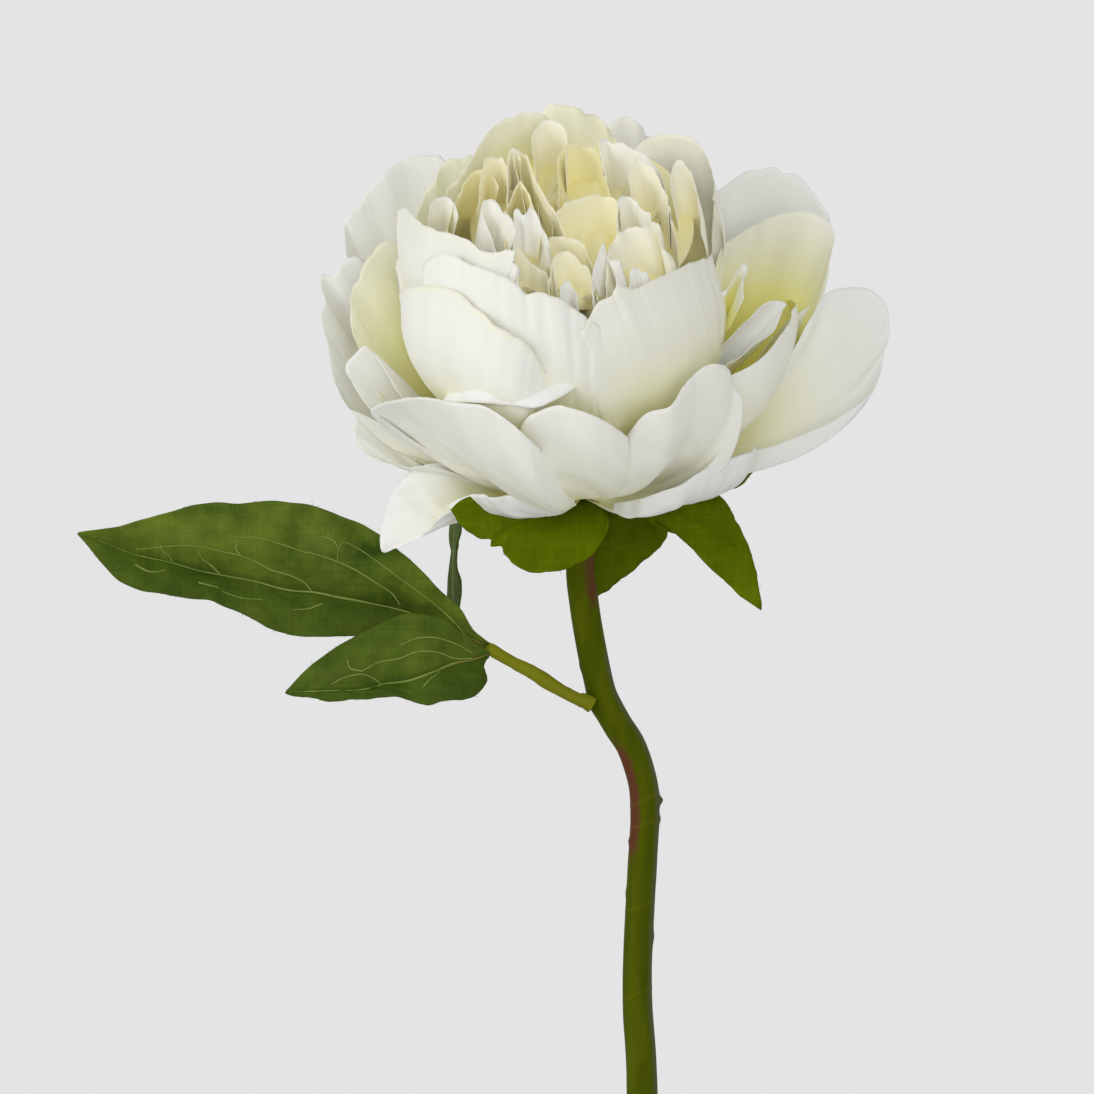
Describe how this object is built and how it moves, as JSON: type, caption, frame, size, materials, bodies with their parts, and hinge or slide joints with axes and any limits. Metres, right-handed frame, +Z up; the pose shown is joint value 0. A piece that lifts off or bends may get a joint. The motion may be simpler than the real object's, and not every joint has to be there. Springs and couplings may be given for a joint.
{
  "type": "peony in a bud vase",
  "caption": "One double peony bloom on a bent stem with a leaf of three leaflets and four sepals, standing in a narrow-necked ceramic bud vase.",
  "frame": {"origin": "centre of the vase's flat foot, on the surface that it stands on", "axes": "+Z up the vase and the flower; -Y towards the front, the side that the bloom faces; +X to the right seen from the front"},
  "size_m": [0.201, 0.1267, 0.4306],
  "materials": {
    "petal_white": "matte",
    "petal_cream": "matte",
    "leaf_green": "satin",
    "stem_green": "satin",
    "white_glaze": "gloss"
  },
  "bodies": {
    "root": {"vase": "white_glaze", "stem": "stem_green", "petiole": "stem_green", "receptacle": "stem_green", "cup_back_left": "petal_white", "cup_back_right": "petal_white", "cup_back_right_bump": "petal_white", "cup_back_top": "petal_white", "cup_back_top_left": "petal_white", "cup_front_left": "petal_white", "cup_front_low": "petal_white", "cup_front_middle": "petal_white", "cup_front_right": "petal_white", "guard_back_left": "petal_white", "guard_back_low": "petal_white", "guard_back_right": "petal_white", "guard_back_upper": "petal_white", "guard_far_right": "petal_white", "guard_far_right_under": "petal_white", "guard_front_left": "petal_white", "guard_front_lip": "petal_white", "guard_front_middle": "petal_white", "guard_front_right": "petal_white", "guard_left_behind": "petal_white", "guard_left_droop": "petal_white", "guard_left_inner": "petal_white", "guard_left_lip": "petal_white", "guard_left_outer": "petal_white", "guard_left_under": "petal_white", "guard_left_white": "petal_white", "guard_right_crescent": "petal_white", "guard_right_cup": "petal_white", "guard_right_tongue": "petal_white", "guard_right_top": "petal_white", "guard_right_under": "petal_white", "guard_right_upper": "petal_white", "leaflet_edge_on": "leaf_green", "leaflet_front": "leaf_green", "leaflet_large": "leaf_green", "middle_arc_back": "petal_cream", "middle_arc_front": "petal_cream", "middle_back_face": "petal_cream", "middle_cream_low": "petal_cream", "middle_cream_right": "petal_cream", "middle_long_left": "petal_cream", "middle_ribbon": "petal_cream", "middle_right_back": "petal_cream", "middle_right_edge": "petal_cream", "middle_right_front": "petal_cream", "middle_small_left": "petal_cream", "middle_strip_slanting": "petal_cream", "middle_strip_upright": "petal_cream", "middle_tongue": "petal_cream", "middle_tooth_left": "petal_cream", "middle_tooth_right": "petal_cream", "middle_top_strip": "petal_cream", "sepal_behind": "leaf_green", "sepal_front": "leaf_green", "sepal_right": "leaf_green", "sepal_small": "leaf_green"}
  },
  "joints": []
}
